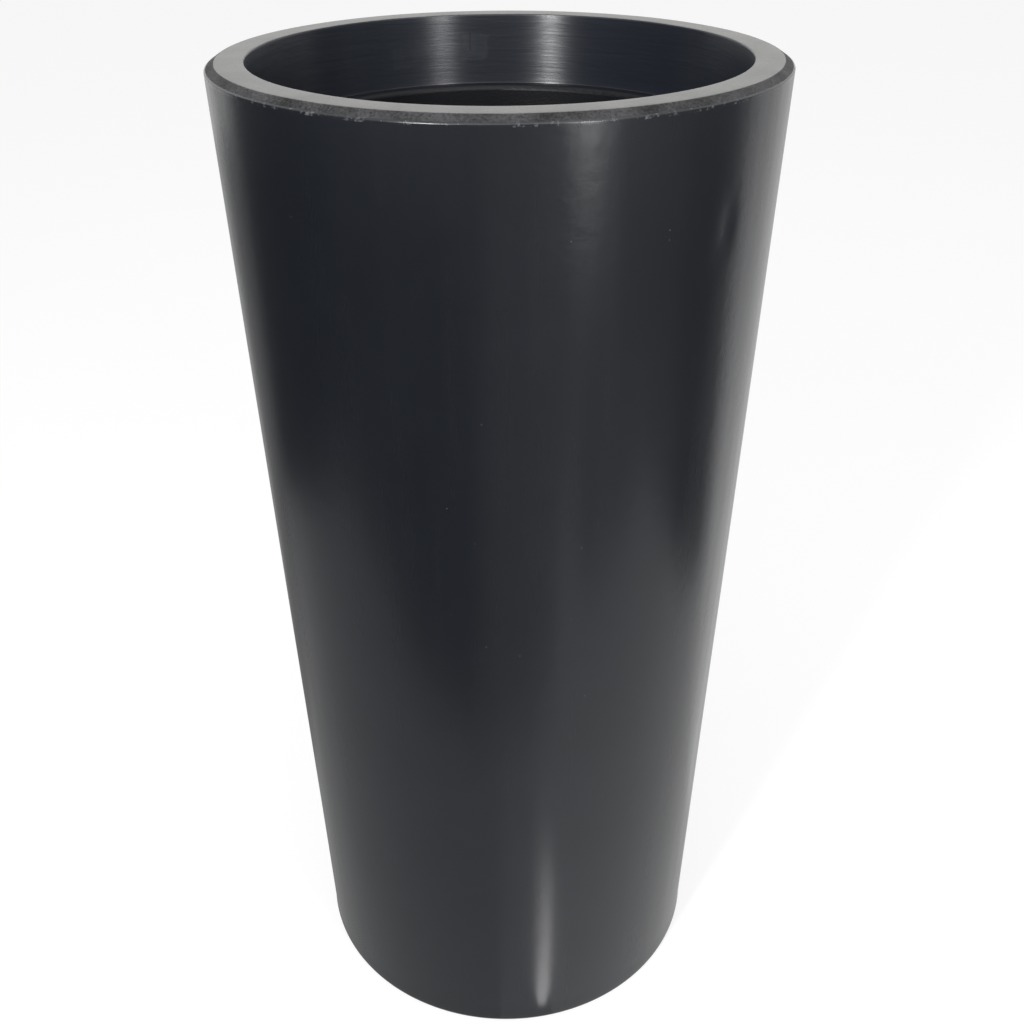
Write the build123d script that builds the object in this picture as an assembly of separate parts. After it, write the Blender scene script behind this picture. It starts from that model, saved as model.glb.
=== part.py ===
from build123d import *

import os
from collections import namedtuple
from math import hypot

# A tall round planter in millimetres, +Z up, with its origin on the floor at the centre of the base.
# The shell is one hollow moulding, the liner hangs in its mouth and a bung closes its drain.

# Outside of the shell
HEIGHT = 800.0
RIM_DIAMETER = 400.0
BASE_DIAMETER = 348.0
WALL = 5.0
FOOT_EDGE_RADIUS = 6.0

# Rim: a flat top with a sloping band round its outer edge
RIM_WIDTH = 27.0
BEVEL_WIDTH = 8.0
BEVEL_DROP = 4.5
BEVEL_EDGE_RADIUS = 1.5
PARTING_EDGE_RADIUS = 0.6
MOUTH_EDGE_RADIUS = 4.0

# Collar: the skin that turns down inside the mouth and ends in a trimmed ledge
COLLAR_DEPTH = 55.0
COLLAR_DRAFT = 1.5
COLLAR_CORNER_RADIUS = 3.0
LEDGE_WIDTH = 10.0

# Underside: a foot ring round a raised panel with the drain in its middle
FOOT_RING_WIDTH = 20.0
PANEL_RISE = 14.0
PANEL_SLOPE_WIDTH = 12.0
PANEL_EDGE_RADIUS = 4.0
DRAIN_DIAMETER = 30.0

# No corner of a moulded skin is sharper than this
SHARPEST_RADIUS = 1.0

# Liner: a thin tapered pot with a flange that lies on the ledge
LINER_WALL = 2.5
LINER_DEPTH = 360.0
LINER_TAPER = 20.0
LINER_EDGE_RADIUS = 12.0
LINER_NECK_RADIUS = 1.5
SHOULDER_DROP = 52.0
SHOULDER_STEP = 4.0
SHOULDER_SLOPE = 5.0
SHOULDER_RADIUS = 3.0
GUTTER_WIDTH = 32.0
LINER_PANEL_RISE = 6.0
LINER_PANEL_RADIUS = 3.0
LINER_HOLE_DIAMETER = 10.0
LINER_HOLE_COUNT = 8
FINGER_SLOT_WIDTH = 80.0
FINGER_SLOT_HEIGHT = 24.0
FINGER_SLOT_DROP = 10.0

# Bung: a rubber plug pushed up into the drain from below
BUNG_HEAD_OVERLAP = 6.0
BUNG_HEAD_THICKNESS = 3.5
BUNG_HEAD_RADIUS = 1.0
BUNG_STAND = 6.0
BUNG_LEAD = 1.5
TAB_WIDTH = 20.0
TAB_THICKNESS = 4.0
TAB_CORNER_RADIUS = 3.0

# Clearances
LINER_CLEARANCE = 1.5
FLANGE_CLEARANCE = 0.5
BUNG_CLEARANCE = 0.05
TAB_FLOOR_CLEARANCE = 3.5

# Places worked out from the sizes above
RIM_RADIUS = RIM_DIAMETER / 2
BASE_RADIUS = BASE_DIAMETER / 2
MOUTH_RADIUS = RIM_RADIUS - RIM_WIDTH
COLLAR_RADIUS = MOUTH_RADIUS - COLLAR_DRAFT
LEDGE_RADIUS = COLLAR_RADIUS - LEDGE_WIDTH
LEDGE_Z = HEIGHT - COLLAR_DEPTH
DRAIN_RADIUS = DRAIN_DIAMETER / 2
LINER_RADIUS = LEDGE_RADIUS - LINER_CLEARANCE
FLANGE_RADIUS = COLLAR_RADIUS - COLLAR_CORNER_RADIUS - FLANGE_CLEARANCE
LINER_BASE_RADIUS = LINER_RADIUS - LINER_TAPER
LINER_FLOOR_Z = LEDGE_Z - LINER_DEPTH

# A corner of a half section: its distance from the axis, its height and how far it is rounded
Corner = namedtuple("Corner", "r z radius")


def direction(start, end):
    """The unit step from one corner to another, as (r, z)."""
    length = hypot(end.r - start.r, end.z - start.z)
    return (end.r - start.r) / length, (end.z - start.z) / length


def inner_skin(corners, wall):
    """The corners of the skin that lies one wall thickness to the left of the given one."""
    steps = [direction(a, b) for a, b in zip(corners, corners[1:])]
    before = [steps[0]] + steps
    after = steps + [steps[-1]]
    moved = []
    for corner, (r1, z1), (r2, z2) in zip(corners, before, after):
        reach = wall / (1 + r1 * r2 + z1 * z2)
        turns_left = r1 * z2 - z1 * r2 > 0
        radius = corner.radius - wall if turns_left else corner.radius + wall
        radius = max(radius, SHARPEST_RADIUS) if corner.radius else 0
        moved.append(Corner(corner.r - (z1 + z2) * reach, corner.z + (r1 + r2) * reach, radius))
    return moved


def turned(corners):
    """A solid turned about the upright axis from the closed half section with these corners."""
    points = [(corner.r, 0, corner.z) for corner in corners]
    outline = FilletPolyline(*points, radius=[corner.radius for corner in corners], close=True)
    return revolve(make_face(outline), axis=Axis.Z)


def moulded(corners, wall):
    """A turned solid of even wall thickness, from the corners of its outer skin."""
    return turned(corners + inner_skin(corners, wall)[::-1])


def planter_shell():
    """Base, outer wall, rim, collar and ledge, moulded as one skin."""
    foot_inner_radius = BASE_RADIUS - FOOT_RING_WIDTH
    return moulded(
        [
            Corner(DRAIN_RADIUS, PANEL_RISE, 0),
            Corner(foot_inner_radius - PANEL_SLOPE_WIDTH, PANEL_RISE, PANEL_EDGE_RADIUS),
            Corner(foot_inner_radius, 0, PANEL_EDGE_RADIUS),
            Corner(BASE_RADIUS, 0, FOOT_EDGE_RADIUS),
            Corner(RIM_RADIUS, HEIGHT - BEVEL_DROP, PARTING_EDGE_RADIUS),
            Corner(RIM_RADIUS - BEVEL_WIDTH, HEIGHT, BEVEL_EDGE_RADIUS),
            Corner(MOUTH_RADIUS, HEIGHT, MOUTH_EDGE_RADIUS),
            Corner(COLLAR_RADIUS, LEDGE_Z, COLLAR_CORNER_RADIUS),
            Corner(LEDGE_RADIUS, LEDGE_Z, 0),
        ],
        WALL,
    )


def liner_body():
    """The liner's floor with its gutter, its shouldered wall and its flange, without any holes."""
    gutter_inner_radius = LINER_BASE_RADIUS - GUTTER_WIDTH
    panel_z = LINER_FLOOR_Z + LINER_PANEL_RISE
    shoulder_z = LEDGE_Z - SHOULDER_DROP
    return moulded(
        [
            Corner(0, panel_z, 0),
            Corner(gutter_inner_radius - LINER_PANEL_RISE, panel_z, LINER_PANEL_RADIUS),
            Corner(gutter_inner_radius, LINER_FLOOR_Z, LINER_PANEL_RADIUS),
            Corner(LINER_BASE_RADIUS, LINER_FLOOR_Z, LINER_EDGE_RADIUS),
            Corner(LINER_RADIUS - SHOULDER_STEP, shoulder_z, SHOULDER_RADIUS),
            Corner(LINER_RADIUS, shoulder_z + SHOULDER_SLOPE, SHOULDER_RADIUS),
            Corner(LINER_RADIUS, LEDGE_Z, LINER_NECK_RADIUS),
            Corner(FLANGE_RADIUS, LEDGE_Z, 0),
        ],
        LINER_WALL,
    )


def liner_drain_holes():
    """A ring of holes along the middle of the gutter's flat floor."""
    flat_width = GUTTER_WIDTH - LINER_EDGE_RADIUS
    circle_radius = LINER_BASE_RADIUS - GUTTER_WIDTH + flat_width / 2
    hole = Cylinder(LINER_HOLE_DIAMETER / 2, 4 * LINER_WALL)
    places = PolarLocations(circle_radius, LINER_HOLE_COUNT)
    return [Pos(Z=LINER_FLOOR_Z) * place * hole for place in places]


def finger_slots():
    """One long slot right across the liner, which opens both sides of its neck."""
    slot_z = LEDGE_Z - FINGER_SLOT_DROP - FINGER_SLOT_HEIGHT / 2
    outline = Plane.YZ * SlotOverall(FINGER_SLOT_WIDTH, FINGER_SLOT_HEIGHT)
    return Pos(Z=slot_z) * extrude(outline, 2 * LINER_RADIUS, both=True)


def inner_liner():
    """The pot that holds the soil and lifts out by its finger slots."""
    return liner_body() - liner_drain_holes() - finger_slots()


def bung_plug():
    """The bung's stem and its head, which lies against the underside of the raised panel."""
    stem_radius = DRAIN_RADIUS - BUNG_CLEARANCE
    head_radius = DRAIN_RADIUS + BUNG_HEAD_OVERLAP
    head_bottom = PANEL_RISE - BUNG_HEAD_THICKNESS
    stem_top = PANEL_RISE + WALL + BUNG_STAND
    return turned(
        [
            Corner(0, head_bottom, 0),
            Corner(head_radius, head_bottom, BUNG_HEAD_RADIUS),
            Corner(head_radius, PANEL_RISE, 0),
            Corner(stem_radius, PANEL_RISE, 0),
            Corner(stem_radius, stem_top - BUNG_STAND / 2, 0),
            Corner(stem_radius - BUNG_LEAD, stem_top, 0),
            Corner(0, stem_top, 0),
        ]
    )


def bung_tab():
    """The flat tab under the bung's head, by which it is pulled out."""
    head_bottom = PANEL_RISE - BUNG_HEAD_THICKNESS
    height = head_bottom - TAB_FLOOR_CLEARANCE
    tab = Box(TAB_WIDTH, TAB_THICKNESS, 2 * height)
    tab = fillet(tab.edges().filter_by(Axis.Y).group_by(Axis.Z)[0], TAB_CORNER_RADIUS)
    top_half = Pos(Z=height / 2) * Box(2 * TAB_WIDTH, 2 * TAB_THICKNESS, height)
    return Pos(Z=head_bottom) * (tab - top_half)


def drain_bung():
    """The rubber bung that closes the drain."""
    return bung_plug() + bung_tab()


def main():
    """Build every piece and write it as its own file."""
    os.makedirs("parts", exist_ok=True)
    pieces = {
        "planter_shell": planter_shell(),
        "inner_liner": inner_liner(),
        "drain_bung": drain_bung(),
    }
    for name, piece in pieces.items():
        export_step(piece, f"parts/{name}.step")


main()
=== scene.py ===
"""The looks of a tall round planter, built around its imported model.

The shell is made again as a fine turned mesh with the marks of its moulding, and the liner and the
bung keep their CAD shapes with finishes of their own. Sizes are in millimetres, +Z is up and -Y is
the side that faces the camera; meshes are written in metres.
"""

import logging
import math
from dataclasses import dataclass, field
from enum import Enum

import bpy
from mathutils import Matrix, Vector, noise

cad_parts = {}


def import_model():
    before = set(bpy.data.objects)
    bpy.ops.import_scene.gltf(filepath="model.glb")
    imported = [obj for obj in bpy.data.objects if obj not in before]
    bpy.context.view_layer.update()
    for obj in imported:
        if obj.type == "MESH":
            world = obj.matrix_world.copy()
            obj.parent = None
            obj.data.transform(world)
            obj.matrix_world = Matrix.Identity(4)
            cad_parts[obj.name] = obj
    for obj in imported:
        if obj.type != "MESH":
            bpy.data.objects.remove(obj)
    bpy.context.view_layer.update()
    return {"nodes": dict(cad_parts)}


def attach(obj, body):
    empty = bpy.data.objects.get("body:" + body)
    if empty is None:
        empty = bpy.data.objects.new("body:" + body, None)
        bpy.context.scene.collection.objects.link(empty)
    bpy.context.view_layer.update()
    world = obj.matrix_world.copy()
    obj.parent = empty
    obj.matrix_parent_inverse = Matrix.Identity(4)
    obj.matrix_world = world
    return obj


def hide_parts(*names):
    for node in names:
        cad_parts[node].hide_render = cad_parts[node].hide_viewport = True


LOG = logging.getLogger("planter")
MM = 0.001
WHITE = (1.0, 1.0, 1.0, 1.0)

# No moulded corner is sharper than this, and a rounded one is divided this finely
SHARPEST_RADIUS = 1.0
ARC_STEP_DEG = 9.0

# Sockets of the Mix node that share their names, by place
MIX_COLOURS = {"data_type": "RGBA"}
MIX_A = 6
MIX_B = 7
MIX_RESULT = 2

Socket = bpy.types.NodeSocket
Tree = bpy.types.NodeTree
Inputs = dict[str | int, object]


def linear(colour: str) -> tuple[float, float, float, float]:
    """Turn an sRGB hex colour into linear values.

    Args:
        colour: The colour as "#rrggbb".

    Returns:
        Red, green, blue and an alpha of 1.
    """
    parts = [int(colour[i : i + 2], 16) / 255 for i in (1, 3, 5)]
    values = [p / 12.92 if p <= 0.04045 else ((p + 0.055) / 1.055) ** 2.4 for p in parts]
    return values[0], values[1], values[2], 1.0


def per_metre(size_mm: float) -> float:
    """The texture scale at which one cell of a pattern is this many millimetres wide."""
    return 1 / (size_mm * MM)


def add_node(
    tree: Tree, kind: str, inputs: Inputs | None = None, settings: dict[str, object] | None = None
) -> bpy.types.Node:
    """Add a node with its settings and links.

    Args:
        tree: The node tree that it goes into.
        kind: The node's type name.
        inputs: For each input, by name or place, the value or the socket that feeds it.
        settings: Properties of the node itself.

    Returns:
        The new node.
    """
    node = tree.nodes.new(kind)
    for name, value in (settings or {}).items():
        setattr(node, name, value)
    for key, value in (inputs or {}).items():
        if isinstance(value, bpy.types.NodeSocket):
            tree.links.new(value, node.inputs[key])
        else:
            node.inputs[key].default_value = value
    return node


def smooth_noise(x: float, y: float, z: float, cell: float) -> float:
    """Smooth random value from about -1 to 1 at a place, with cells of the given size."""
    return noise.noise(Vector((x / cell, y / cell, z / cell)))


class Zone(Enum):
    """The parts of the shell's skin that differ in finish, by material index."""

    WALL = 0
    FLASH = 1
    BEVEL = 2
    LID_FACE = 3
    COLLAR = 4
    TRIM = 5
    INSIDE = 6


@dataclass(frozen=True)
class Corner:
    """A corner of a half section, how far it is rounded, and the zone of the run after it."""

    r: float
    z: float
    radius: float
    zone: Zone


@dataclass(frozen=True)
class Row:
    """A ring of points on a turned mesh, with the zone of the band that starts there."""

    r: float
    z: float
    zone: Zone


@dataclass(frozen=True)
class Dent:
    """A shallow dent in the wall: its azimuth from -Y towards +X, height, half sizes and depth."""

    azimuth: float
    z: float
    half_width: float
    half_height: float
    depth: float


@dataclass(frozen=True)
class Rub:
    """A dulled patch on the back of the collar, from a low to a high corner in X and Z."""

    low: tuple[float, float]
    high: tuple[float, float]
    strength: float


def inner_skin(corners: list[Corner], wall: float, zone: Zone) -> list[Corner]:
    """The skin that lies one wall thickness inside an open line of corners.

    Args:
        corners: The outer skin's corners, with the plastic on their left.
        wall: The wall thickness.
        zone: The zone that the inner skin gets.

    Returns:
        The inner skin's corners, in the reverse order.
    """
    steps = [Vector((b.r - a.r, b.z - a.z)).normalized() for a, b in zip(corners, corners[1:])]
    moved = []
    for corner, before, after in zip(corners, [steps[0]] + steps, steps + [steps[-1]]):
        reach = wall / (1 + before.dot(after))
        turns_left = before.x * after.y - before.y * after.x > 0
        radius = corner.radius - wall if turns_left else corner.radius + wall
        radius = max(radius, SHARPEST_RADIUS) if corner.radius else 0.0
        r = corner.r - (before.y + after.y) * reach
        z = corner.z + (before.x + after.x) * reach
        moved.append(Corner(r, z, radius, zone))
    return moved[::-1]


def corner_arc(before: Corner, corner: Corner, after: Corner) -> list[Row]:
    """The rows round one corner of a section.

    Args:
        before: The corner before it.
        corner: The corner itself.
        after: The corner after it.

    Returns:
        One row for a sharp corner, or a row every few degrees for a rounded one.
    """
    if not corner.radius:
        return [Row(corner.r, corner.z, corner.zone)]
    place = Vector((corner.r, corner.z))
    back = (Vector((before.r, before.z)) - place).normalized()
    ahead = (Vector((after.r, after.z)) - place).normalized()
    half_angle = back.angle(ahead) / 2
    turn = math.pi - 2 * half_angle
    centre = place + (back + ahead).normalized() * (corner.radius / math.sin(half_angle))
    start = place + back * (corner.radius / math.tan(half_angle)) - centre
    side = 1 if back.x * ahead.y - back.y * ahead.x < 0 else -1
    count = max(2, round(math.degrees(turn) / ARC_STEP_DEG))
    rows = []
    for step in range(count + 1):
        angle = side * turn * step / count
        r = centre.x + start.x * math.cos(angle) - start.y * math.sin(angle)
        z = centre.y + start.x * math.sin(angle) + start.y * math.cos(angle)
        rows.append(Row(r, z, before.zone if step < count / 2 else corner.zone))
    return rows


def section_rows(corners: list[Corner], spacing: float) -> list[Row]:
    """The rows of a closed section.

    Args:
        corners: The section's corners in order.
        spacing: The widest band between two rows on a straight run.

    Returns:
        The rows in order, with the rounded corners and divided runs.
    """
    arcs = [
        corner_arc(corners[i - 1], corner, corners[(i + 1) % len(corners)])
        for i, corner in enumerate(corners)
    ]
    rows = []
    for i, arc in enumerate(arcs):
        rows += arc
        end, start = arc[-1], arcs[(i + 1) % len(arcs)][0]
        run = math.hypot(start.r - end.r, start.z - end.z)
        bands = max(1, math.ceil(run / spacing))
        for step in range(1, bands):
            share = step / bands
            r = end.r + (start.r - end.r) * share
            z = end.z + (start.z - end.z) * share
            rows.append(Row(r, z, end.zone))
    return rows


@dataclass(frozen=True)
class Finish:
    """A surface of one plastic or rubber; each kind adds the patterns of how it was made."""

    name: str
    colour: str
    roughness: float
    ior: float
    specular: float = 0.5

    def build(self) -> bpy.types.Material:
        """Make the material.

        Returns:
            The new material.
        """
        material = bpy.data.materials.new(self.name)
        material.use_nodes = True
        tree = material.node_tree
        tree.nodes.clear()
        plain = {
            "Base Color": linear(self.colour),
            "Roughness": self.roughness,
            "IOR": self.ior,
            "Specular IOR Level": self.specular,
        }
        shader = add_node(tree, "ShaderNodeBsdfPrincipled", plain)
        add_node(tree, "ShaderNodeOutputMaterial", {"Surface": shader.outputs["BSDF"]})
        self.dress(tree, shader)
        return material

    def dress(self, tree: Tree, shader: bpy.types.Node) -> None:
        """Add the finish's own patterns to the plain shader.

        Args:
            tree: The material's node tree.
            shader: The plain shader.
        """
        raise NotImplementedError


@dataclass(frozen=True)
class SatinPolyethylene(Finish):
    """Polyethylene from a polished steel mould: satin, with faint flow and orange peel."""

    cloud_colour: str = "#161a21"
    cloud_mm: float = 70.0
    peel_mm: float = 9.0
    peel_height_mm: float = 0.09
    # The mould's blasted grain is about 0.3 mm wide: drawn coarser, so that it shows
    grain_mm: float = 1.1
    grain_height_mm: float = 0.04
    streak_mm: float = 14.0
    streak_length_mm: float = 420.0
    roughness_spread: float = 0.02
    speck_cell_mm: float = 6.0
    speck_mm: float = 0.35
    speck_share: float = 0.04
    speck_colour: str = "#5c5f63"
    scuff_height_mm: float = 5.0
    scuff_mm: float = 7.0
    scuff_strength: float = 0.5

    def dress(self, tree: Tree, shader: bpy.types.Node) -> None:
        """Add clouded pigment, upright streaks, orange peel, grain, specks and foot scuffs.

        Args:
            tree: The material's node tree.
            shader: The plain shader.
        """
        place = add_node(tree, "ShaderNodeTexCoord").outputs["Object"]
        clouds = add_node(
            tree,
            "ShaderNodeTexNoise",
            {"Vector": place, "Scale": per_metre(self.cloud_mm), "Detail": 4.0, "Roughness": 0.6},
        )
        pigment = add_node(
            tree,
            "ShaderNodeMix",
            {
                0: clouds.outputs["Fac"],
                MIX_A: linear(self.colour),
                MIX_B: linear(self.cloud_colour),
            },
            MIX_COLOURS,
        )
        specks = self.speck_mask(tree, place)
        specked = add_node(
            tree,
            "ShaderNodeMix",
            {0: specks, MIX_A: pigment.outputs[MIX_RESULT], MIX_B: linear(self.speck_colour)},
            MIX_COLOURS,
        )
        scuffs = self.scuff_mask(tree, place)
        scuffed = add_node(
            tree,
            "ShaderNodeMix",
            {0: scuffs, MIX_A: specked.outputs[MIX_RESULT], MIX_B: linear(self.speck_colour)},
            MIX_COLOURS,
        )
        tree.links.new(scuffed.outputs[MIX_RESULT], shader.inputs["Base Color"])

        # The mould is drawn off upwards, which leaves long upright streaks in the gloss
        stretch = self.streak_mm / self.streak_length_mm
        drawn = add_node(
            tree, "ShaderNodeMapping", {"Vector": place, "Scale": (1.0, 1.0, stretch)}
        )
        streaks = add_node(
            tree,
            "ShaderNodeTexNoise",
            {"Vector": drawn.outputs[0], "Scale": per_metre(self.streak_mm), "Detail": 3.0},
        )
        gloss = add_node(
            tree,
            "ShaderNodeMapRange",
            {
                "Value": streaks.outputs["Fac"],
                "From Min": 0.3,
                "From Max": 0.7,
                "To Min": self.roughness - self.roughness_spread,
                "To Max": self.roughness + self.roughness_spread,
            },
        )
        tree.links.new(gloss.outputs[0], shader.inputs["Roughness"])

        peel = add_node(
            tree,
            "ShaderNodeTexNoise",
            {"Vector": place, "Scale": per_metre(self.peel_mm), "Detail": 1.0},
        )
        grain = add_node(
            tree,
            "ShaderNodeTexNoise",
            {"Vector": place, "Scale": per_metre(self.grain_mm), "Detail": 2.0},
        )
        peeled = add_node(
            tree,
            "ShaderNodeBump",
            {"Height": peel.outputs["Fac"], "Distance": self.peel_height_mm * MM},
        )
        grained = add_node(
            tree,
            "ShaderNodeBump",
            {
                "Height": grain.outputs["Fac"],
                "Distance": self.grain_height_mm * MM,
                "Normal": peeled.outputs["Normal"],
            },
        )
        tree.links.new(grained.outputs["Normal"], shader.inputs["Normal"])

    def speck_mask(self, tree: Tree, place: Socket) -> Socket:
        """A mask of a few pin-sized specks of dust and undispersed pigment.

        Args:
            tree: The material's node tree.
            place: The object coordinates.

        Returns:
            The mask's socket.
        """
        cells = add_node(
            tree, "ShaderNodeTexVoronoi", {"Vector": place, "Scale": per_metre(self.speck_cell_mm)}
        )
        reach = self.speck_mm / self.speck_cell_mm
        near = add_node(
            tree,
            "ShaderNodeMath",
            {0: cells.outputs["Distance"], 1: reach},
            {"operation": "LESS_THAN"},
        )
        drawn_lot = add_node(tree, "ShaderNodeSeparateColor", {0: cells.outputs["Color"]})
        few = add_node(
            tree,
            "ShaderNodeMath",
            {0: drawn_lot.outputs[0], 1: 1 - self.speck_share},
            {"operation": "GREATER_THAN"},
        )
        both = add_node(
            tree,
            "ShaderNodeMath",
            {0: near.outputs[0], 1: few.outputs[0]},
            {"operation": "MULTIPLY"},
        )
        return both.outputs[0]

    def scuff_mask(self, tree: Tree, place: Socket) -> Socket:
        """A broken mask along the foot, where the pot is dragged over floors.

        Args:
            tree: The material's node tree.
            place: The object coordinates.

        Returns:
            The mask's socket.
        """
        axes = add_node(tree, "ShaderNodeSeparateXYZ", {0: place})
        low = add_node(
            tree,
            "ShaderNodeMapRange",
            {
                "Value": axes.outputs["Z"],
                "From Min": 0.0,
                "From Max": self.scuff_height_mm * MM,
                "To Min": self.scuff_strength,
                "To Max": 0.0,
            },
        )
        wear = add_node(
            tree,
            "ShaderNodeTexNoise",
            {"Vector": place, "Scale": per_metre(self.scuff_mm), "Detail": 5.0, "Roughness": 0.7},
        )
        broken = add_node(
            tree,
            "ShaderNodeMapRange",
            {"Value": wear.outputs["Fac"], "From Min": 0.48, "From Max": 0.66},
        )
        both = add_node(
            tree,
            "ShaderNodeMath",
            {0: low.outputs[0], 1: broken.outputs[0]},
            {"operation": "MULTIPLY"},
        )
        return both.outputs[0]


@dataclass(frozen=True)
class GranularPolyethylene(Finish):
    """Polyethylene moulded against a plain cast face: matt, with the grain of the powder."""

    pale_colour: str = "#4a4947"
    # The powder's grains are about 0.5 mm wide: drawn coarser, so that they show
    grain_mm: float = 1.7
    grain_height_mm: float = 0.5
    cloud_mm: float = 26.0
    sheen: float = 0.0

    def dress(self, tree: Tree, shader: bpy.types.Node) -> None:
        """Add fused powder grain, cloudy bloom and a dusty sheen at a low angle.

        Args:
            tree: The material's node tree.
            shader: The plain shader.
        """
        shader.inputs["Sheen Weight"].default_value = self.sheen
        place = add_node(tree, "ShaderNodeTexCoord").outputs["Object"]
        grain = add_node(
            tree,
            "ShaderNodeTexNoise",
            {"Vector": place, "Scale": per_metre(self.grain_mm), "Detail": 3.0, "Roughness": 0.6},
        )
        clouds = add_node(
            tree,
            "ShaderNodeTexNoise",
            {"Vector": place, "Scale": per_metre(self.cloud_mm), "Detail": 3.0},
        )
        mixed = add_node(
            tree,
            "ShaderNodeMath",
            {0: grain.outputs["Fac"], 1: clouds.outputs["Fac"]},
            {"operation": "MULTIPLY"},
        )
        share = add_node(
            tree,
            "ShaderNodeMapRange",
            {"Value": mixed.outputs[0], "From Min": 0.15, "From Max": 0.36},
        )
        pigment = add_node(
            tree,
            "ShaderNodeMix",
            {0: share.outputs[0], MIX_A: linear(self.colour), MIX_B: linear(self.pale_colour)},
            MIX_COLOURS,
        )
        tree.links.new(pigment.outputs[MIX_RESULT], shader.inputs["Base Color"])
        bumped = add_node(
            tree,
            "ShaderNodeBump",
            {"Height": grain.outputs["Fac"], "Distance": self.grain_height_mm * MM},
        )
        tree.links.new(bumped.outputs["Normal"], shader.inputs["Normal"])


@dataclass(frozen=True)
class RippledPolyethylene(Finish):
    """Polyethylene that shrank off a smooth core: satin, with fine level ripples."""

    # The finest real ripples are about 0.5 mm apart: drawn coarser, so that they show
    ripple_mm: float = 1.6
    ripple_height_mm: float = 0.12
    swell_mm: float = 7.0
    swell_height_mm: float = 0.2
    ripple_stretch: float = 12.5
    # Ripples too fine to draw spread the gloss up and down, across the way round the pot
    upright_spread: float = 0.9
    quarter_turn: float = 0.25
    rub_colour: str = "#3d4046"
    rub_roughness: float = 0.5
    rub_waver_mm: float = 18.0
    rub_blotch_mm: float = 9.0
    rub_wear: float = 0.75
    scratch_colour: str = "#08090b"
    back_mm: float = 100.0
    rubs: tuple[Rub, ...] = (
        Rub((-25.0, 771.5), (-3.5, 791.0), 0.22),
        Rub((-81.0, 769.0), (-62.0, 784.0), 0.1),
        Rub((-62.0, 775.0), (-50.0, 789.0), 0.08),
    )
    scratches: tuple[Rub, ...] = (
        Rub((-26.0, 772.5), (-25.3, 786.5), 1.0),
        Rub((-28.5, 763.0), (-22.5, 763.7), 0.7),
    )

    def dress(self, tree: Tree, shader: bpy.types.Node) -> None:
        """Add level ripples and swells, rubbed patches and two scratches.

        Args:
            tree: The material's node tree.
            shader: The plain shader.
        """
        shader.inputs["Anisotropic"].default_value = self.upright_spread
        shader.inputs["Anisotropic Rotation"].default_value = self.quarter_turn
        place = add_node(tree, "ShaderNodeTexCoord").outputs["Object"]
        rubbed = self.patch_mask(tree, place, self.rubs, self.rub_wear)
        tinted = add_node(
            tree,
            "ShaderNodeMix",
            {0: rubbed, MIX_A: linear(self.colour), MIX_B: linear(self.rub_colour)},
            MIX_COLOURS,
        )
        scratched = add_node(
            tree,
            "ShaderNodeMix",
            {
                0: self.patch_mask(tree, place, self.scratches, 0.0),
                MIX_A: tinted.outputs[MIX_RESULT],
                MIX_B: linear(self.scratch_colour),
            },
            MIX_COLOURS,
        )
        tree.links.new(scratched.outputs[MIX_RESULT], shader.inputs["Base Color"])
        gloss = add_node(
            tree,
            "ShaderNodeMapRange",
            {"Value": rubbed, "To Min": self.roughness, "To Max": self.rub_roughness},
        )
        tree.links.new(gloss.outputs[0], shader.inputs["Roughness"])
        flat = 1 / self.ripple_stretch
        level = add_node(tree, "ShaderNodeMapping", {"Vector": place, "Scale": (flat, flat, 1.0)})
        swells = add_node(
            tree,
            "ShaderNodeTexNoise",
            {"Vector": level.outputs[0], "Scale": per_metre(self.swell_mm), "Detail": 1.0},
        )
        ripples = add_node(
            tree,
            "ShaderNodeTexNoise",
            {"Vector": level.outputs[0], "Scale": per_metre(self.ripple_mm), "Detail": 1.0},
        )
        swelled = add_node(
            tree,
            "ShaderNodeBump",
            {"Height": swells.outputs["Fac"], "Distance": self.swell_height_mm * MM},
        )
        rippled = add_node(
            tree,
            "ShaderNodeBump",
            {
                "Height": ripples.outputs["Fac"],
                "Distance": self.ripple_height_mm * MM,
                "Normal": swelled.outputs["Normal"],
            },
        )
        tree.links.new(rippled.outputs["Normal"], shader.inputs["Normal"])

    def patch_mask(
        self, tree: Tree, place: Socket, patches: tuple[Rub, ...], wear: float
    ) -> Socket:
        """A mask of patches on the back of the collar.

        Args:
            tree: The node tree.
            place: The object coordinates.
            patches: The patches to mark.
            wear: How much of each patch is worn thin, from 0 to 1.

        Returns:
            The mask's socket.
        """
        blotches = add_node(
            tree,
            "ShaderNodeTexNoise",
            {
                "Vector": place,
                "Scale": per_metre(self.rub_blotch_mm),
                "Detail": 3.0,
                "Roughness": 0.6,
            },
        )
        worn = add_node(
            tree,
            "ShaderNodeMapRange",
            {
                "Value": blotches.outputs["Fac"],
                "From Min": 0.3,
                "From Max": 0.6,
                "To Min": 1 - wear,
            },
        )
        wavered = add_node(
            tree,
            "ShaderNodeVectorMath",
            {0: blotches.outputs["Color"], 1: (wear * self.rub_waver_mm * MM,) * 3, 2: place},
            {"operation": "MULTIPLY_ADD"},
        )
        axes = add_node(tree, "ShaderNodeSeparateXYZ", {0: wavered.outputs[0]})
        marks: Socket | float = 0.0
        for patch in patches:
            marks = add_node(
                tree,
                "ShaderNodeMath",
                {0: marks, 1: self.one_patch(tree, axes, patch)},
                {"operation": "MAXIMUM"},
            ).outputs[0]
        thinned = add_node(
            tree, "ShaderNodeMath", {0: marks, 1: worn.outputs[0]}, {"operation": "MULTIPLY"}
        )
        return thinned.outputs[0]

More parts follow.
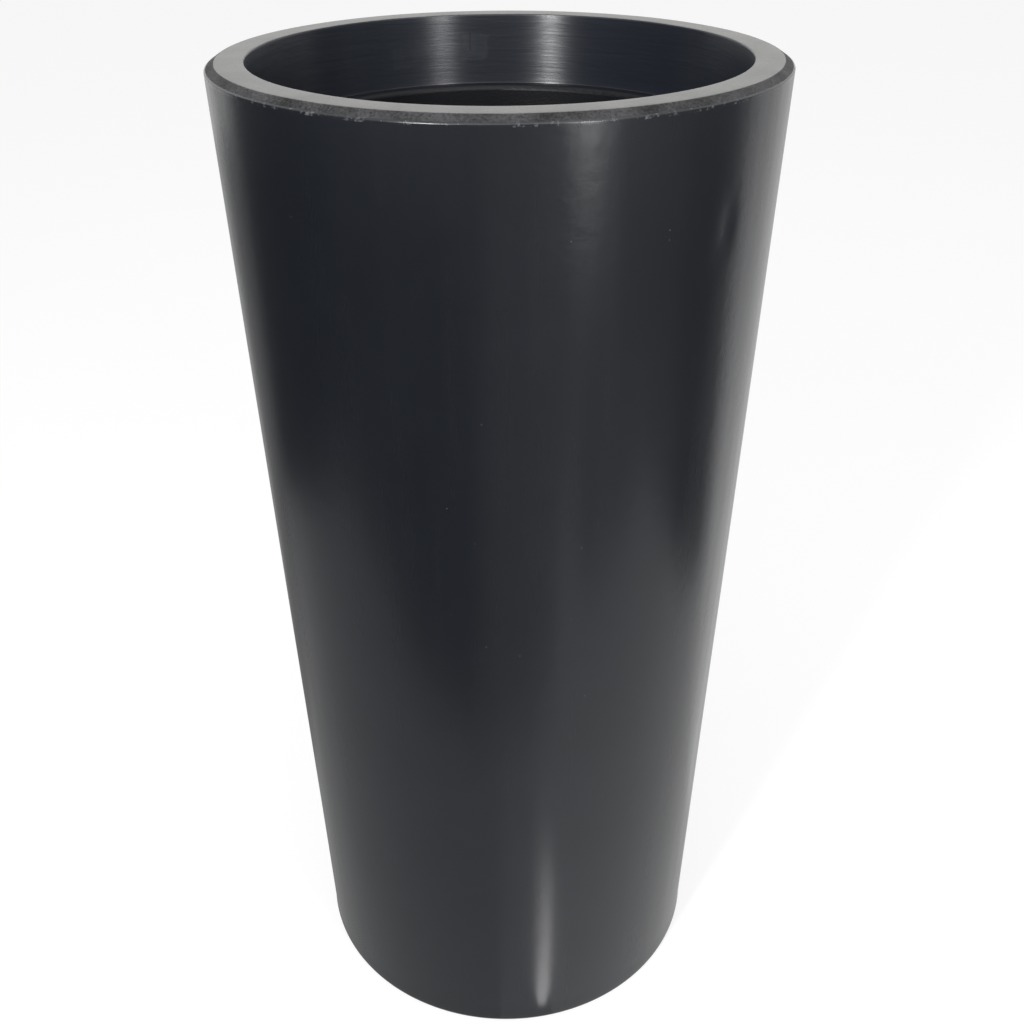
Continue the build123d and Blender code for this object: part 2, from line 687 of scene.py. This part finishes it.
    def one_patch(self, tree: Tree, axes: bpy.types.Node, patch: Rub) -> Socket:
        """A mask of one patch at its own strength.

        Args:
            tree: The node tree.
            axes: The node that gives X, Y and Z.
            patch: The patch to mark.

        Returns:
            The mask's socket.
        """
        mark = add_node(
            tree,
            "ShaderNodeMath",
            {0: axes.outputs["Y"], 1: self.back_mm * MM},
            {"operation": "GREATER_THAN"},
        )
        for name, low, high in zip("XZ", patch.low, patch.high):
            inside = add_node(
                tree,
                "ShaderNodeMath",
                {0: axes.outputs[name], 1: (low + high) / 2 * MM, 2: (high - low) / 2 * MM},
                {"operation": "COMPARE"},
            )
            mark = add_node(
                tree,
                "ShaderNodeMath",
                {0: mark.outputs[0], 1: inside.outputs[0]},
                {"operation": "MULTIPLY"},
            )
        scaled = add_node(
            tree,
            "ShaderNodeMath",
            {0: mark.outputs[0], 1: patch.strength},
            {"operation": "MULTIPLY"},
        )
        return scaled.outputs[0]


@dataclass(frozen=True)
class KnifedFlash(Finish):
    """The rounded parting edge: glossy, with pale tears where flash was trimmed by knife."""

    torn_colour: str = "#56575a"
    torn_mm: float = 4.5
    torn_share: float = 0.55
    torn_edge: float = 0.12
    torn_roughness: float = 0.6

    def dress(self, tree: Tree, shader: bpy.types.Node) -> None:
        """Add the torn patches, paler and rougher than the edge.

        Args:
            tree: The material's node tree.
            shader: The plain shader.
        """
        place = add_node(tree, "ShaderNodeTexCoord").outputs["Object"]
        tears = add_node(
            tree,
            "ShaderNodeTexNoise",
            {"Vector": place, "Scale": per_metre(self.torn_mm), "Detail": 5.0, "Roughness": 0.65},
        )
        torn = add_node(
            tree,
            "ShaderNodeMapRange",
            {
                "Value": tears.outputs["Fac"],
                "From Min": self.torn_share,
                "From Max": self.torn_share + self.torn_edge,
            },
        )
        pigment = add_node(
            tree,
            "ShaderNodeMix",
            {0: torn.outputs[0], MIX_A: linear(self.colour), MIX_B: linear(self.torn_colour)},
            MIX_COLOURS,
        )
        tree.links.new(pigment.outputs[MIX_RESULT], shader.inputs["Base Color"])
        gloss = add_node(
            tree,
            "ShaderNodeMapRange",
            {"Value": torn.outputs[0], "To Min": self.roughness, "To Max": self.torn_roughness},
        )
        tree.links.new(gloss.outputs[0], shader.inputs["Roughness"])


@dataclass(frozen=True)
class DullPlastic(Finish):
    """A plain moulded plastic or rubber, with clouds of paler bloom and a fine grain."""

    # Real grain is about 0.2 mm wide: drawn coarser, so that it shows
    grain_mm: float = 1.6
    grain_height_mm: float = 0.2
    cloud_mm: float = 40.0
    pale_colour: str = "#1c1c1d"

    def dress(self, tree: Tree, shader: bpy.types.Node) -> None:
        """Add clouds of paler bloom and a fine grain.

        Args:
            tree: The material's node tree.
            shader: The plain shader.
        """
        place = add_node(tree, "ShaderNodeTexCoord").outputs["Object"]
        clouds = add_node(
            tree,
            "ShaderNodeTexNoise",
            {"Vector": place, "Scale": per_metre(self.cloud_mm), "Detail": 4.0, "Roughness": 0.6},
        )
        pigment = add_node(
            tree,
            "ShaderNodeMix",
            {
                0: clouds.outputs["Fac"],
                MIX_A: linear(self.colour),
                MIX_B: linear(self.pale_colour),
            },
            MIX_COLOURS,
        )
        tree.links.new(pigment.outputs[MIX_RESULT], shader.inputs["Base Color"])
        grain = add_node(
            tree,
            "ShaderNodeTexNoise",
            {"Vector": place, "Scale": per_metre(self.grain_mm), "Detail": 2.0},
        )
        bumped = add_node(
            tree,
            "ShaderNodeBump",
            {"Height": grain.outputs["Fac"], "Distance": self.grain_height_mm * MM},
        )
        tree.links.new(bumped.outputs["Normal"], shader.inputs["Normal"])


# Blue-black pigment, polished mould: the wall mirrors its surroundings softly
WALL_FINISH = SatinPolyethylene("rotomoulded_polyethylene_satin", "#0f1217", 0.26, 1.51)
# Flash squeezed out at the parting line and trimmed back: whitened where the knife tore it
FLASH_FINISH = KnifedFlash("knife_trimmed_polyethylene_edge", "#16191e", 0.22, 1.51)
# Cast groove of the mould: the grain of the powder shows, and the band turns a speckled grey
BEVEL_FINISH = GranularPolyethylene(
    "rotomoulded_polyethylene_granular",
    "#08090a",
    0.55,
    1.51,
    specular=0.22,
    pale_colour="#434345",
    grain_height_mm=0.9,
)
# Plain lid face: fine matt skin that turns pale at a low angle. Its colour and grain are painted
# paler grey than the black plastic, as painted reflection of the bright surround it mirrors at a
# low angle
LID_FINISH_PAINTED_PALE = GranularPolyethylene(
    "rotomoulded_polyethylene_lid_face_painted_pale",
    "#393836",
    0.4,
    1.51,
    pale_colour="#555350",
    grain_height_mm=0.12,
    sheen=0.2,
)
# Skin that shrank off a smooth core: upright lights break into fine level ripples. Its colour is
# painted lighter than the wall's plastic, as painted light that falls into the mouth
COLLAR_FINISH_PAINTED_LIGHTER = RippledPolyethylene("rotomoulded_polyethylene_collar_painted_lighter", "#1f232b", 0.32, 1.51)
# Edge cut by a router: dull and paler, with the colour of torn plastic
TRIM_FINISH = DullPlastic("routed_polyethylene_edge", "#34363a", 0.55, 1.51, pale_colour="#7b7d80")
# Free face that never touched the mould: dull, with the soft lumps of melted powder
INSIDE_FINISH = DullPlastic(
    "rotomoulded_polyethylene_inside", "#101216", 0.5, 1.51, grain_mm=3.0, grain_height_mm=1.0
)
# Injection moulded in black with a fine dull texture, so it stays dark down in the mouth
LINER_FINISH = DullPlastic(
    "injection_moulded_polypropylene", "#0d0e12", 0.45, 1.49, specular=0.2, pale_colour="#17181d"
)
# Soft black rubber pressed in a sandblasted mould: matt, and greyer than the plastics
BUNG_FINISH = DullPlastic(
    "compression_moulded_rubber", "#111111", 0.75, 1.52, pale_colour="#1e1e1f"
)


@dataclass(frozen=True)
class RaggedLine:
    """An uneven line round the rim, of long and short waves at two heights in the noise."""

    long_mm: float
    short_mm: float
    short_share: float
    heights: tuple[float, float]

    def at(self, x: float, y: float) -> float:
        """How far the line strays at a point, from about -1 to 1."""
        long_wave = smooth_noise(x, y, self.heights[0], self.long_mm)
        return long_wave + self.short_share * smooth_noise(x, y, self.heights[1], self.short_mm)


@dataclass
class PlanterShell:
    """The one-piece hollow moulding: base, wall, rim, collar and trimmed ledge."""

    body: str = "shell"
    height: float = 800.0
    rim_radius: float = 200.0
    base_radius: float = 174.0
    wall: float = 5.0
    foot_edge_radius: float = 6.0
    rim_width: float = 27.0
    bevel_width: float = 6.8
    bevel_drop: float = 4.5
    bevel_edge_radius: float = 4.0
    mouth_edge_radius: float = 1.6
    collar_depth: float = 55.0
    collar_draft: float = 1.5
    collar_corner_radius: float = 3.0
    ledge_width: float = 10.0
    foot_ring_width: float = 20.0
    panel_rise: float = 14.0
    panel_slope_width: float = 12.0
    panel_edge_radius: float = 4.0
    drain_radius: float = 15.0
    skin_allowance: float = 0.35
    wave_height: float = 0.2
    wave_mm: float = 90.0
    wave_stretch: float = 0.6
    lid_wave_height: float = 0.12
    lid_wave_mm: float = 60.0
    lid_noise_height: float = 5.0
    flash_height: float = 0.22
    flash_band: float = 1.6
    flash_swing: float = 0.9
    flash_least: float = 0.08
    flash_line: RaggedLine = RaggedLine(23.0, 6.0, 0.5, (11.0, 37.0))
    parting_radius: float = 1.2
    parting_inner_radius: float = 0.6
    dents: tuple[Dent, ...] = (
        Dent(46.0, 719.0, 8.0, 15.0, 0.8),
        Dent(43.5, 702.0, 6.0, 9.0, 0.3),
    )
    trim_wave: float = 0.7
    trim_line: RaggedLine = RaggedLine(30.0, 7.0, 0.4, (3.0, 9.0))
    segments: int = 360
    row_spacing: float = 8.0
    sharp_angle_deg: float = 50.0
    zones: dict[Zone, Finish] = field(
        default_factory=lambda: {
            Zone.WALL: WALL_FINISH,
            Zone.FLASH: FLASH_FINISH,
            Zone.BEVEL: BEVEL_FINISH,
            Zone.LID_FACE: LID_FINISH_PAINTED_PALE,
            Zone.COLLAR: COLLAR_FINISH_PAINTED_LIGHTER,
            Zone.TRIM: TRIM_FINISH,
            Zone.INSIDE: INSIDE_FINISH,
        }
    )

    def corners(self) -> list[Corner]:
        """The closed half section, with a bead of flash at the parting line.

        Returns:
            The section's corners in order.
        """
        foot_inner = self.base_radius - self.foot_ring_width
        parting_z = self.height - self.bevel_drop
        mouth = self.rim_radius - self.rim_width
        collar = mouth - self.collar_draft
        ledge_z = self.height - self.collar_depth
        slope = (self.rim_radius - self.base_radius) / parting_z
        low_r = self.rim_radius - self.flash_band * slope
        panel_r = foot_inner - self.panel_slope_width
        lid_r = self.rim_radius - self.bevel_width
        outer = [
            Corner(self.drain_radius, self.panel_rise, 0, Zone.WALL),
            Corner(panel_r, self.panel_rise, self.panel_edge_radius, Zone.WALL),
            Corner(foot_inner, 0, self.panel_edge_radius, Zone.WALL),
            Corner(self.base_radius, 0, self.foot_edge_radius, Zone.WALL),
        ]
        rim = [
            Corner(lid_r, self.height, self.bevel_edge_radius, Zone.LID_FACE),
            Corner(mouth, self.height, self.mouth_edge_radius, Zone.COLLAR),
            Corner(collar, ledge_z, self.collar_corner_radius, Zone.COLLAR),
            Corner(collar - self.ledge_width, ledge_z, 0, Zone.TRIM),
        ]
        parting = Corner(self.rim_radius, parting_z, self.parting_inner_radius, Zone.BEVEL)
        inner = inner_skin(outer + [parting] + rim, self.wall, Zone.INSIDE)
        bevel = Vector((-self.bevel_width, self.bevel_drop)).normalized() * self.flash_band
        bead = [
            Corner(low_r, parting_z - self.flash_band, 0, Zone.FLASH),
            Corner(self.rim_radius, parting_z, self.parting_radius, Zone.FLASH),
            Corner(self.rim_radius + bevel.x, parting_z + bevel.y, 0, Zone.BEVEL),
        ]
        return outer + bead + rim + inner

    def shift(self, row: Row, x: float, y: float) -> tuple[float, float]:
        """How far the moulding leaves its true section at a point.

        Args:
            row: The point's row.
            x: The point's place along X before it is moved.
            y: The point's place along Y before it is moved.

        Returns:
            The steps outwards and upwards.
        """
        if row.zone is Zone.WALL and row.z > self.foot_edge_radius:
            wave = smooth_noise(x, y, row.z * self.wave_stretch, self.wave_mm)
            out = -self.skin_allowance + self.wave_height * wave
            return out - self.dent_depth(x, y, row.z), 0.0
        if row.zone is Zone.FLASH:
            share = 0.5 + self.flash_swing * self.flash_line.at(x, y)
            share = min(1.0, max(self.flash_least, share))
            return -self.skin_allowance - self.flash_height * (1 - share), 0.0
        if row.zone in (Zone.BEVEL, Zone.LID_FACE):
            wave = smooth_noise(x, y, self.lid_noise_height, self.lid_wave_mm)
            return -self.skin_allowance, self.lid_wave_height * (wave - 1)
        if row.zone is Zone.TRIM:
            return self.trim_wave * (0.5 + self.trim_line.at(x, y)), 0.0
        return 0.0, 0.0

    def dent_depth(self, x: float, y: float, z: float) -> float:
        """How deep the wall is dented at a point.

        Args:
            x: The point's place along X.
            y: The point's place along Y.
            z: The point's height.

        Returns:
            The depth, which fades out from the middle of each dent.
        """
        azimuth, radius = math.atan2(x, -y), math.hypot(x, y)
        depth = 0.0
        for dent in self.dents:
            across = (azimuth - math.radians(dent.azimuth)) * radius / dent.half_width
            up = (z - dent.z) / dent.half_height
            depth += dent.depth * math.exp(-(across**2) - up**2)
        return depth

    def build(self) -> bpy.types.Object:
        """Turn the section into the shell's mesh.

        Returns:
            The shell, which rides on its body.
        """
        rows = section_rows(self.corners(), self.row_spacing)
        angles = [2 * math.pi * i / self.segments for i in range(self.segments)]
        points = []
        for row in rows:
            for angle in angles:
                across, along = math.cos(angle), math.sin(angle)
                out, up = self.shift(row, row.r * across, row.r * along)
                r, z = row.r + out, row.z + up
                points.append((r * across * MM, r * along * MM, z * MM))
        faces, zones = [], []
        for i, row in enumerate(rows):
            near, far = i * self.segments, (i + 1) % len(rows) * self.segments
            for j in range(self.segments):
                k = (j + 1) % self.segments
                faces.append((near + j, near + k, far + k, far + j))
                zones.append(row.zone.value)
        mesh = bpy.data.meshes.new("planter_shell_moulding")
        mesh.from_pydata(points, [], faces)
        for finish in self.zones.values():
            mesh.materials.append(finish.build())
        mesh.polygons.foreach_set("material_index", zones)
        mesh.polygons.foreach_set("use_smooth", [True] * len(faces))
        mesh.set_sharp_from_angle(angle=math.radians(self.sharp_angle_deg))
        mesh.update()
        shell = bpy.data.objects.new("planter_shell_moulding", mesh)
        bpy.context.scene.collection.objects.link(shell)
        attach(shell, self.body)
        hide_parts("planter_shell")
        LOG.info("%s: %d faces, rides on %s", shell.name, len(faces), self.body)
        return shell


@dataclass
class CarriedPiece:
    """A CAD node that keeps its shape and gets a finish."""

    node: bpy.types.Object
    finish: Finish
    body: str

    def dress(self) -> None:
        """Put the finish on every slot of the node."""
        material = self.finish.build()
        for slot in self.node.material_slots:
            slot.material = material
        LOG.info("%s: %s, rides on %s", self.node.name, self.finish.name, self.body)


@dataclass(frozen=True)
class PhotoCamera:
    """The photograph's view: a pinhole camera fitted to the pot's outline and rim."""

    focal_px: float = 1189.9
    frame_px: float = 1024.0
    sensor_mm: float = 36.0
    place: tuple[float, float, float] = (0.0068, -0.8648, 0.9438)
    pitch_deg: float = 30.611
    roll_deg: float = -0.289

    def build(self) -> None:
        """Put the camera in the scene."""
        data = bpy.data.cameras.new("photo_camera")
        data.sensor_width = self.sensor_mm
        data.lens = self.focal_px / self.frame_px * self.sensor_mm
        camera = bpy.data.objects.new("photo_camera", data)
        tilt = Matrix.Rotation(math.radians(90 - self.pitch_deg), 4, "X")
        roll = Matrix.Rotation(math.radians(self.roll_deg), 4, "Z")
        camera.matrix_world = Matrix.Translation(self.place) @ tilt @ roll
        bpy.context.scene.collection.objects.link(camera)
        bpy.context.scene.camera = camera


@dataclass(frozen=True)
class Lamp:
    """An area lamp that shines at a point; sizes in metres, power in watts."""

    name: str
    place: tuple[float, float, float]
    target: tuple[float, float, float]
    size: tuple[float, float]
    power: float

    def build(self) -> None:
        """Put the lamp in the scene, out of the camera's sight."""
        data = bpy.data.lights.new(self.name, "AREA")
        data.shape = "RECTANGLE"
        data.size, data.size_y = self.size
        data.energy = self.power
        lamp = bpy.data.objects.new(self.name, data)
        lamp.location = self.place
        aim = Vector(self.target) - Vector(self.place)
        lamp.rotation_euler = aim.to_track_quat("-Z", "Y").to_euler()
        lamp.visible_camera = False
        bpy.context.scene.collection.objects.link(lamp)


def plan_point(azimuth: float, distance: float, z: float) -> tuple[float, float, float]:
    """A place in metres from its azimuth, in degrees from -Y towards +X, and its distance."""
    turn = math.radians(azimuth)
    return distance * math.sin(turn), -distance * math.cos(turn), z


@dataclass(frozen=True)
class FloorCard:
    """A flat glowing card round the pot that shows only in its reflections: painted light and
    shade of the floor around the pot.

    Each edge is an azimuth in degrees and the distances in metres where the card starts and ends.
    """

    name: str
    level: float
    edges: tuple[tuple[float, float, float], ...]
    lift: float = 0.002

    def points(self) -> list[tuple[float, float, float]]:
        """The card's points, in pairs across it.

        Returns:
            The points in metres.
        """
        pairs = [
            (plan_point(azimuth, near, self.lift), plan_point(azimuth, far, self.lift))
            for azimuth, near, far in self.edges
        ]
        return [point for pair in pairs for point in pair]


@dataclass(frozen=True)
class WallCard:
    """An upright glowing card far from the pot that shows only in its reflections: painted light
    and shade of the room's walls, or a bright strip that paints glints.
    """

    name: str
    level: float
    azimuths: tuple[float, ...]
    distance: float = 3.3
    bottom: float = 0.0
    top: float = 2.6

    def points(self) -> list[tuple[float, float, float]]:
        """The card's points, in pairs across it.

        Returns:
            The points in metres.
        """
        return [
            plan_point(azimuth, self.distance, z)
            for azimuth in self.azimuths
            for z in (self.bottom, self.top)
        ]


@dataclass
class Studio:
    """A pale floor, a white surround, soft lamps and glowing cards at fixed levels, painted light
    and shade of the room, that shape the reflections.
    """

    floor_radius: float = 9.0
    floor_sides: int = 96
    floor_colour: str = "#e6e6e6"
    floor_lift: float = 0.77
    floor_shade: float = 0.3
    surround_light: float = 0.5
    lamps: tuple[Lamp, ...] = (
        Lamp("overhead_softbox", (0.2, -1.0, 2.7), (0.0, 0.0, 0.5), (2.6, 2.6), 26.0),
        Lamp("right_strip", (1.42, -2.27, 1.0), (0.0, 0.0, 0.75), (0.3, 2.0), 18.0),
        Lamp("left_strip", (-1.05, -2.05, 1.75), (0.0, 0.0, 0.77), (0.16, 1.0), 34.0),
    )
    # Glowing cards at fixed levels: painted light and shade of the room, and painted glints, seen
    # only in reflections
    cards: tuple[FloorCard | WallCard, ...] = (
        FloorCard("behind_card", 0.9, ((-180, 0.25, 3.3), (-166, 0.25, 3.3))),
        FloorCard("left_behind_card", 0.75, ((-166, 0.25, 3.3), (-152, 0.25, 3.3))),
        FloorCard("left_back_card", 0.6, ((-152, 0.25, 3.3), (-138, 0.25, 3.3))),
        FloorCard("left_side_card", 0.3, ((-138, 0.25, 3.3), (-118, 0.25, 3.3))),
        FloorCard(
            "left_near_card",
            0.47,
            (
                (-118, 0.16, 1.0),
                (-95, 0.16, 0.95),
                (-78, 0.16, 1.0),
                (-63, 0.16, 0.96),
                (-50, 0.16, 0.78),
                (-39, 0.16, 0.65),
                (-28, 0.16, 0.6),
                (-17, 0.16, 0.56),
                (-2, 0.16, 0.55),
            ),
        ),
        FloorCard(
            "left_dark_card",
            0.06,
            ((-118, 1.0, 3.3), (-95, 0.95, 3.3), (-78, 1.0, 3.3), (-66, 0.98, 3.3)),
        ),
        FloorCard(
            "front_left_card",
            0.1,
            (
                (-66, 0.98, 3.3),
                (-50, 0.78, 3.3),
                (-39, 0.65, 3.3),
                (-28, 0.6, 3.3),
                (-17, 0.56, 3.3),
                (-10, 0.555, 3.3),
            ),
        ),
        FloorCard("front_card", 0.29, ((-10, 0.555, 3.3), (0, 0.55, 3.3))),
        FloorCard(
            "front_right_card",
            0.33,
            (
                (0, 0.55, 3.3),
                (14, 0.58, 3.3),
                (21, 0.62, 3.3),
                (24, 1.15, 3.3),
                (29, 1.15, 3.3),
                (32, 0.78, 3.3),
                (38, 0.80, 3.3),
                (50, 0.93, 3.3),
                (62, 1.1, 3.3),
            ),
        ),
        FloorCard("right_middle_card", 0.28, ((62, 1.1, 3.3), (76, 0.88, 3.3))),
        FloorCard("right_dark_card", 0.13, ((76, 0.88, 3.3), (92, 0.74, 3.3), (106, 0.78, 3.3))),
        FloorCard("front_near_card", 0.6, ((-2, 0.16, 0.55), (6, 0.16, 0.56), (14, 0.16, 0.58))),
        FloorCard(
            "right_near_card",
            0.8,
            (
                (14, 0.16, 0.58),
                (21, 0.16, 0.62),
                (24, 0.16, 1.15),
                (29, 0.16, 1.15),
                (32, 0.16, 0.78),
                (38, 0.16, 0.80),
                (50, 0.16, 0.93),
                (62, 0.16, 1.1),
                (76, 0.16, 0.88),
                (92, 0.16, 0.74),
                (106, 0.16, 0.78),
            ),
        ),
        FloorCard(
            "foot_glint_card",
            3.6,
            (
                (10.0, 0.185, 0.2),
                (12.3, 0.185, 0.24),
                (14.6, 0.2, 0.3),
                (17.0, 0.245, 0.35),
                (18.6, 0.3, 0.37),
            ),
            0.004,
        ),
        WallCard("left_dark_wall", 0.14, (-118, -100, -83, -66)),
        WallCard("front_left_wall", 0.3, (-66, -50, -30, -10)),
        WallCard("front_wall", 0.42, (-10, 0)),
        WallCard("front_right_wall", 0.5, (0, 20, 42, 62)),
        WallCard("right_middle_wall", 0.36, (62, 76)),
        WallCard("right_dark_wall", 0.26, (76, 92, 106)),
        WallCard("left_glint_card", 42.0, (-28, -26, -24), 1.3, 0.88, 1.7),
        WallCard("right_glint_card", 27.0, (28, 30, 32), 1.3, 0.88, 1.7),
    )

    def build(self) -> None:
        """Set up the surround, the floor, the lamps and the cards."""
        scene = bpy.context.scene
        scene.view_settings.view_transform = "Standard"
        self.build_surround(scene)
        self.build_floor(scene)
        for card in self.cards:
            self.build_card(card)
        for lamp in self.lamps:
            lamp.build()

    def shown_rays(self, tree: Tree) -> Socket:
        """1 for the camera, glossy and transmission rays that see the white, or else 0.

        Args:
            tree: The node tree of the world or a material.

        Returns:
            The socket.
        """
        path = add_node(tree, "ShaderNodeLightPath").outputs
        seen = add_node(
            tree,
            "ShaderNodeMath",
            {0: path["Is Camera Ray"], 1: path["Is Glossy Ray"]},
            {"operation": "MAXIMUM"},
        )
        shown = add_node(
            tree,
            "ShaderNodeMath",
            {0: seen.outputs[0], 1: path["Is Transmission Ray"]},
            {"operation": "MAXIMUM"},
        )
        return shown.outputs[0]

    def build_surround(self, scene: bpy.types.Scene) -> None:
        """Make the world white where it is seen, and a plain soft light elsewhere.

        Args:
            scene: The scene that gets the world.
        """
        world = bpy.data.worlds.new("white_surround")
        world.use_nodes = True
        tree = world.node_tree
        tree.nodes.clear()
        strength = add_node(
            tree,
            "ShaderNodeMapRange",
            {"Value": self.shown_rays(tree), "To Min": self.surround_light, "To Max": 1.0},
        )
        background = add_node(
            tree, "ShaderNodeBackground", {"Color": WHITE, "Strength": strength.outputs[0]}
        )
        add_node(tree, "ShaderNodeOutputWorld", {"Surface": background.outputs[0]})
        scene.world = world

    def build_floor(self, scene: bpy.types.Scene) -> None:
        """Lay the floor: lifted to white where it is seen, and clear from below.

        Args:
            scene: The scene that the floor goes into.
        """
        material = bpy.data.materials.new("painted_studio_floor")
        material.use_nodes = True
        tree = material.node_tree
        tree.nodes.clear()
        paint = add_node(tree, "ShaderNodeBsdfDiffuse", {"Color": linear(self.floor_colour)})
        shade = add_node(tree, "ShaderNodeBsdfDiffuse", {"Color": (*[self.floor_shade] * 3, 1.0)})
        lift = add_node(tree, "ShaderNodeEmission", {"Color": WHITE, "Strength": self.floor_lift})
        lifted = add_node(tree, "ShaderNodeAddShader", {0: shade.outputs[0], 1: lift.outputs[0]})
        seen = add_node(
            tree,
            "ShaderNodeMixShader",
            {0: self.shown_rays(tree), 1: paint.outputs[0], 2: lifted.outputs[0]},
        )
        below = add_node(tree, "ShaderNodeNewGeometry").outputs["Backfacing"]
        clear = add_node(tree, "ShaderNodeBsdfTransparent")
        one_sided = add_node(
            tree, "ShaderNodeMixShader", {0: below, 1: seen.outputs[0], 2: clear.outputs[0]}
        )
        add_node(tree, "ShaderNodeOutputMaterial", {"Surface": one_sided.outputs[0]})
        mesh = bpy.data.meshes.new("studio_floor")
        reach, sides = self.floor_radius, self.floor_sides
        turns = [2 * math.pi * i / sides for i in range(sides)]
        mesh.from_pydata(
            [(reach * math.cos(turn), reach * math.sin(turn), 0.0) for turn in turns],
            [],
            [tuple(range(sides))],
        )
        mesh.materials.append(material)
        floor = bpy.data.objects.new("studio_floor", mesh)
        scene.collection.objects.link(floor)

    def build_card(self, card: FloorCard | WallCard) -> None:
        """Stand a card on the stage that glows at the card's one plain level, as painted light and
        shade seen only in reflections.

        Args:
            card: The card to build.
        """
        material = bpy.data.materials.new(card.name)
        material.use_nodes = True
        tree = material.node_tree
        tree.nodes.clear()
        level = add_node(tree, "ShaderNodeEmission", {"Color": WHITE, "Strength": card.level})
        add_node(tree, "ShaderNodeOutputMaterial", {"Surface": level.outputs[0]})
        points = card.points()
        faces = [(i, i + 1, i + 3, i + 2) for i in range(0, len(points) - 2, 2)]
        mesh = bpy.data.meshes.new(card.name)
        mesh.from_pydata(points, [], faces)
        mesh.materials.append(material)
        piece = bpy.data.objects.new(card.name, mesh)
        piece.visible_camera = False
        piece.visible_diffuse = False
        piece.visible_shadow = False
        bpy.context.scene.collection.objects.link(piece)


def main() -> None:
    """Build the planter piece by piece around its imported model."""
    logging.basicConfig(level=logging.INFO, format="%(name)s: %(message)s")
    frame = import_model()
    PhotoCamera().build()
    Studio().build()
    PlanterShell().build()
    CarriedPiece(frame["nodes"]["inner_liner"], LINER_FINISH, "liner").dress()
    CarriedPiece(frame["nodes"]["drain_bung"], BUNG_FINISH, "bung").dress()


if __name__ == "__main__":
    main()
